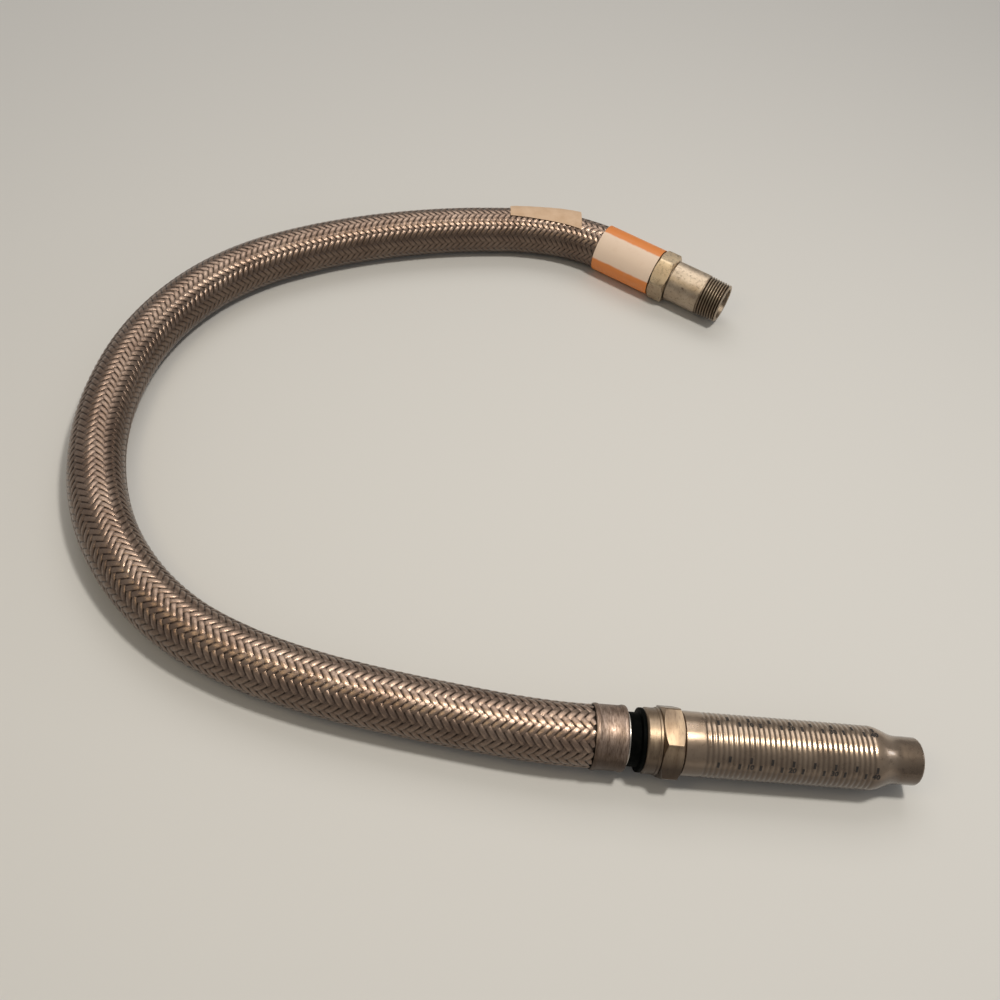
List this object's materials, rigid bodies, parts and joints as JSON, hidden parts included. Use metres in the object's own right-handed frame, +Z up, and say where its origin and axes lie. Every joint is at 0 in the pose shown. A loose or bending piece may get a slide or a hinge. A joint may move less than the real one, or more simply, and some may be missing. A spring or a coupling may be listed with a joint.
{
  "type": "flexible sprinkler hose",
  "caption": "Braided steel flexible hose lying in a C, with a union nut at each end, a threaded branch nipple and a graduated reducer.",
  "frame": {"origin": "floor level, at the middle of the box round the rigid end fittings (hose and tape left out)", "axes": "+Z up from the floor, +X along the outlet reducer's axis towards its socket"},
  "size_m": [0.5419, 0.5018, 0.04],
  "materials": {
    "braid": "woven steel wire, dull",
    "tape": "creped masking tape, matt",
    "collar": "turned steel, browned",
    "steel": "plain stainless steel",
    "ring": "black moulded plastic",
    "gasket": "flat rubber",
    "label": "printed in two colours, slightly worn",
    "zinc": "zinc plated, yellowed, satin"
  },
  "bodies": {
    "hose": {"braided_hose": "braid", "masking_tape": "tape", "inlet_collar": "collar", "inlet_braid_end": "braid", "inlet_corrugated_tube": "steel", "inlet_weld_ring": "steel", "inlet_isolation_ring": "ring", "inlet_gasket": "gasket", "inlet_label": "label", "outlet_collar": "collar", "outlet_braid_end": "braid", "outlet_corrugated_tube": "steel", "outlet_weld_ring": "steel", "outlet_isolation_ring": "ring", "outlet_gasket": "gasket"},
    "inlet_nut": {"inlet_nut": "zinc"},
    "inlet_nipple": {"inlet_nipple": "zinc"},
    "outlet_nut": {"outlet_nut": "zinc"},
    "outlet_reducer": {"outlet_reducer": "zinc"}
  },
  "joints": [
    {"name": "inlet_nut_turn", "type": "hinge", "parent": "hose", "child": "inlet_nut", "pos_m": [-0.02322, 0.19809, 0.01975], "axis": [-0.8712, 0.4909, 0], "range_deg": [0, 1800]},
    {"name": "inlet_nipple_slide", "type": "slide", "parent": "hose", "child": "inlet_nipple", "axis": [0.8712, -0.4909, 0], "range_m": [0, 0.01154]},
    {"name": "outlet_nut_turn", "type": "hinge", "parent": "hose", "child": "outlet_nut", "pos_m": [-0.05255, -0.2215, 0.02], "axis": [-1, 0, 0], "range_deg": [0, 1800]},
    {"name": "outlet_reducer_slide", "type": "slide", "parent": "hose", "child": "outlet_reducer", "axis": [1, 0, 0], "range_m": [0, 0.01154]}
  ],
  "couplings": [
    {"joint": "inlet_nut_turn", "follows": "inlet_nipple_slide", "rad_per_m": 2721},
    {"joint": "outlet_nut_turn", "follows": "outlet_reducer_slide", "rad_per_m": 2721}
  ]
}
